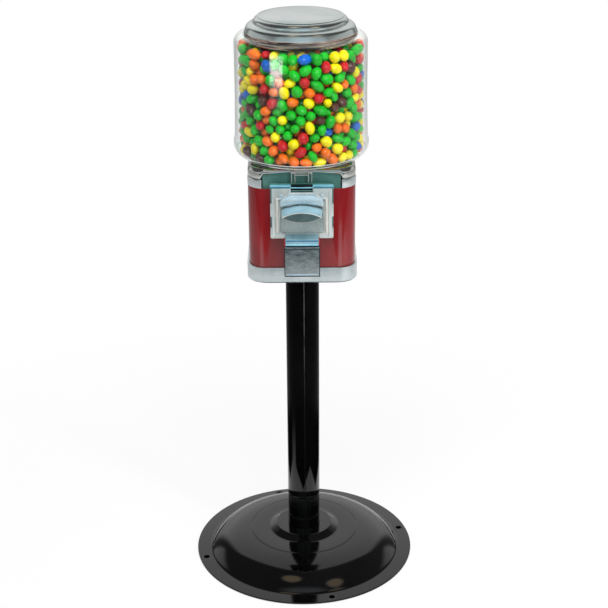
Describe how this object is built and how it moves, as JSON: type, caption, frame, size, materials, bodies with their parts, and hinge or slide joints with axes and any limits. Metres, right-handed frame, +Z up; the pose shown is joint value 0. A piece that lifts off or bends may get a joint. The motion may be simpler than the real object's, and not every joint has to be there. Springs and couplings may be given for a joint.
{
  "type": "gumball machine",
  "caption": "Candy and gumball vendor on a pole stand: clear canister with a chrome lid over a red housing with a coin handle and chute door, on a round black base.",
  "frame": {"origin": "on the floor, on the axis of the pole, at the middle of the round base", "axes": "+Z up along the pole, -Y to the front with the coin handle, +X to the right seen from the front"},
  "size_m": [0.412, 0.412, 1.034],
  "materials": {
    "stand_black": "gloss black enamel",
    "steel": "plain zinc plated steel",
    "tray_silver": "satin silver casting",
    "body_red": "smooth red enamel with a soft sheen",
    "chrome": "bright chrome plate",
    "panel_grey": "dull green-grey panel",
    "zinc_dark": "dark brushed zinc casting",
    "clear": "clear polycarbonate",
    "candy": "mixed sugar-coated candies",
    "brass": "turned brass",
    "cream_plastic": "moulded plastic",
    "wheel_red": "moulded plastic",
    "box_grey": "moulded plastic"
  },
  "bodies": {
    "machine": {"base_plate": "stand_black", "pole": "stand_black", "pole_plate": "stand_black", "pole_plug": "steel", "pole_bolt": "steel", "pole_washer": "steel", "plate_bolts": "steel", "plate_nuts": "steel", "center_rod": "steel", "rod_nuts": "steel", "door_pin": "steel", "mech_backplate": "steel", "mech_screws": "steel", "gear_plate": "steel", "gear_posts": "steel", "pawl_pin": "steel", "idler_pin": "steel", "base_tray": "tray_silver", "top_collar": "tray_silver", "body_shell": "body_red", "canister_seat": "chrome", "mech_faceplate": "chrome", "coin_rails": "chrome", "chute_housing": "chrome", "mech_panel": "panel_grey", "chute_spout": "zinc_dark", "canister": "clear", "candy_fill": "candy", "shaft_bushes": "brass", "hopper_pan": "cream_plastic", "drop_shield": "cream_plastic", "product_chute": "cream_plastic", "coin_box": "box_grey"},
    "lid": {"lid": "chrome", "lid_bush": "brass"},
    "handle": {"handle": "chrome", "handle_screw": "steel", "drive_shaft": "steel", "shaft_clip": "steel", "coin_wheel": "brass", "drive_gear": "brass"},
    "idler": {"idler_gear": "cream_plastic"},
    "wheel": {"product_wheel": "wheel_red", "crown_gear": "cream_plastic", "agitator": "cream_plastic"},
    "door": {"chute_door": "zinc_dark"},
    "pawl": {"coin_pawl": "steel"}
  },
  "joints": [
    {"name": "lid_lift", "type": "slide", "parent": "machine", "child": "lid", "axis": [0, 0, 1], "range_m": [0, 0.12]},
    {"name": "handle_turn", "type": "hinge", "parent": "machine", "child": "handle", "pos_m": [0, 0, 0.7224], "axis": [0, 1, 0], "continuous": true},
    {"name": "idler_turn", "type": "hinge", "parent": "machine", "child": "idler", "pos_m": [0, 0, 0.7464], "axis": [0, 1, 0], "continuous": true},
    {"name": "wheel_turn", "type": "hinge", "parent": "machine", "child": "wheel", "pos_m": [0, 0, 0.77], "axis": [0, 0, 1], "continuous": true},
    {"name": "door_swing", "type": "hinge", "parent": "machine", "child": "door", "pos_m": [0, -0.114, 0.664], "axis": [-1, 0, 0], "range_deg": [0, 70]},
    {"name": "pawl_lift", "type": "hinge", "parent": "machine", "child": "pawl", "pos_m": [0.038, 0, 0.7404], "axis": [0, 1, 0], "range_deg": [0, 12]}
  ],
  "couplings": [
    {"joint": "idler_turn", "follows": "handle_turn", "ratio": -1},
    {"joint": "wheel_turn", "follows": "handle_turn", "ratio": -0.33333}
  ]
}
